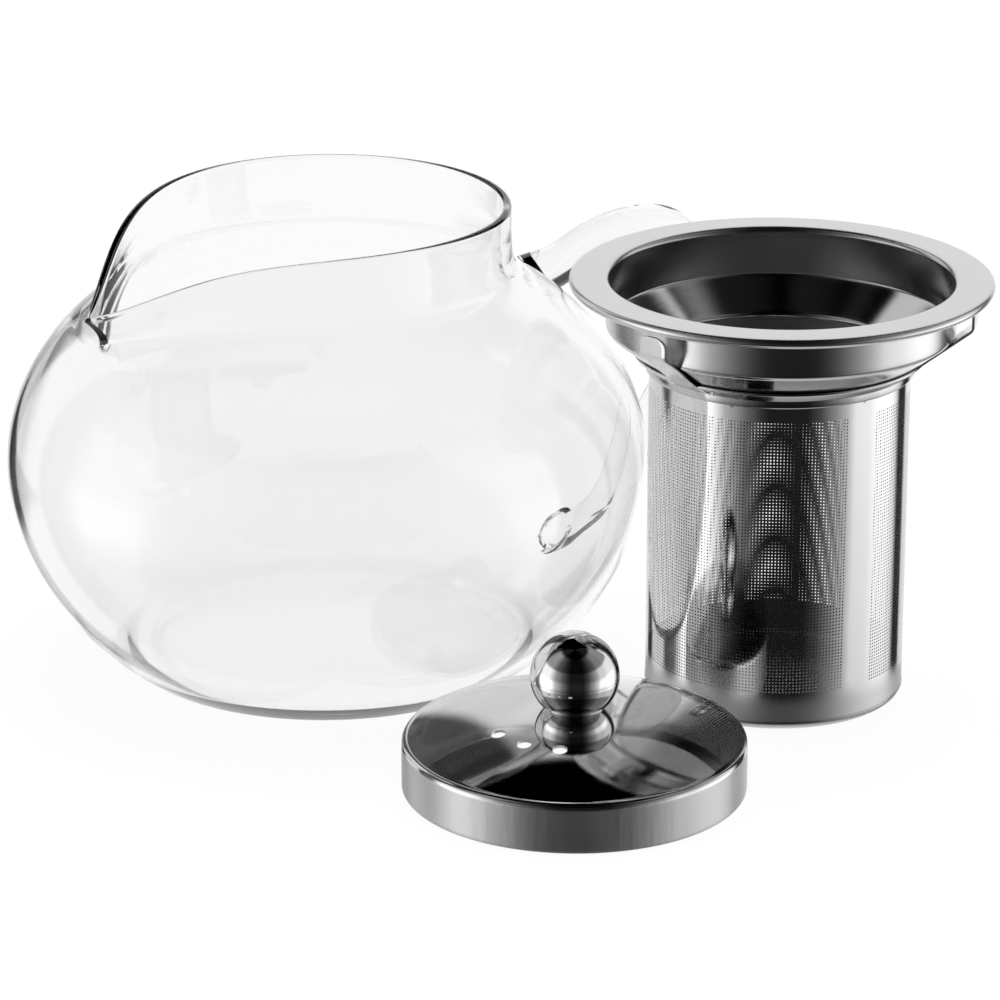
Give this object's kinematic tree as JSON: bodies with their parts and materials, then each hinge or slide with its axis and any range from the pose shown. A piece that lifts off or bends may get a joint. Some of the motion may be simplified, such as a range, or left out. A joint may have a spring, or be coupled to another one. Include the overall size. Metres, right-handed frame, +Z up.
{
  "type": "infuser teapot",
  "caption": "Round blown-glass teapot with a pinched spout and rod handle, laid out beside its lift-out perforated steel infuser and its domed steel lid with a ball knob.",
  "frame": {"origin": "centre of the glass pot's base, on the surface that every piece stands on", "axes": "+Z up, +X from the pot towards the infuser, -Y towards the side where the lid lies"},
  "size_m": [0.2408, 0.2056, 0.1167],
  "materials": {
    "clear_glass": "clear, fire polished",
    "collar_steel": "satin flange, polished well",
    "spring_steel": "plain rolled strip",
    "strainer_steel": "polished sheet with a fine grid of holes",
    "lid_steel": "mirror dome, brushed skirt",
    "polished_steel": "mirror polished",
    "fastener_steel": "plain"
  },
  "bodies": {
    "pot": {"pot_body": "clear_glass", "pot_handle": "clear_glass"},
    "infuser": {"infuser_collar": "collar_steel", "spring_ring": "spring_steel", "strainer_tube": "strainer_steel", "strainer_base": "strainer_steel"},
    "lid": {"lid_cap": "lid_steel", "lid_knob": "polished_steel", "knob_washer": "fastener_steel", "knob_screw": "fastener_steel"}
  },
  "joints": [
    {"name": "infuser_lift", "type": "slide", "parent": "pot", "child": "infuser", "axis": [0, 0, 1], "range_m": [0, 0.125]},
    {"name": "lid_lift", "type": "slide", "parent": "pot", "child": "lid", "axis": [0, -0.8, 0.6], "range_m": [0, 0.12]}
  ]
}
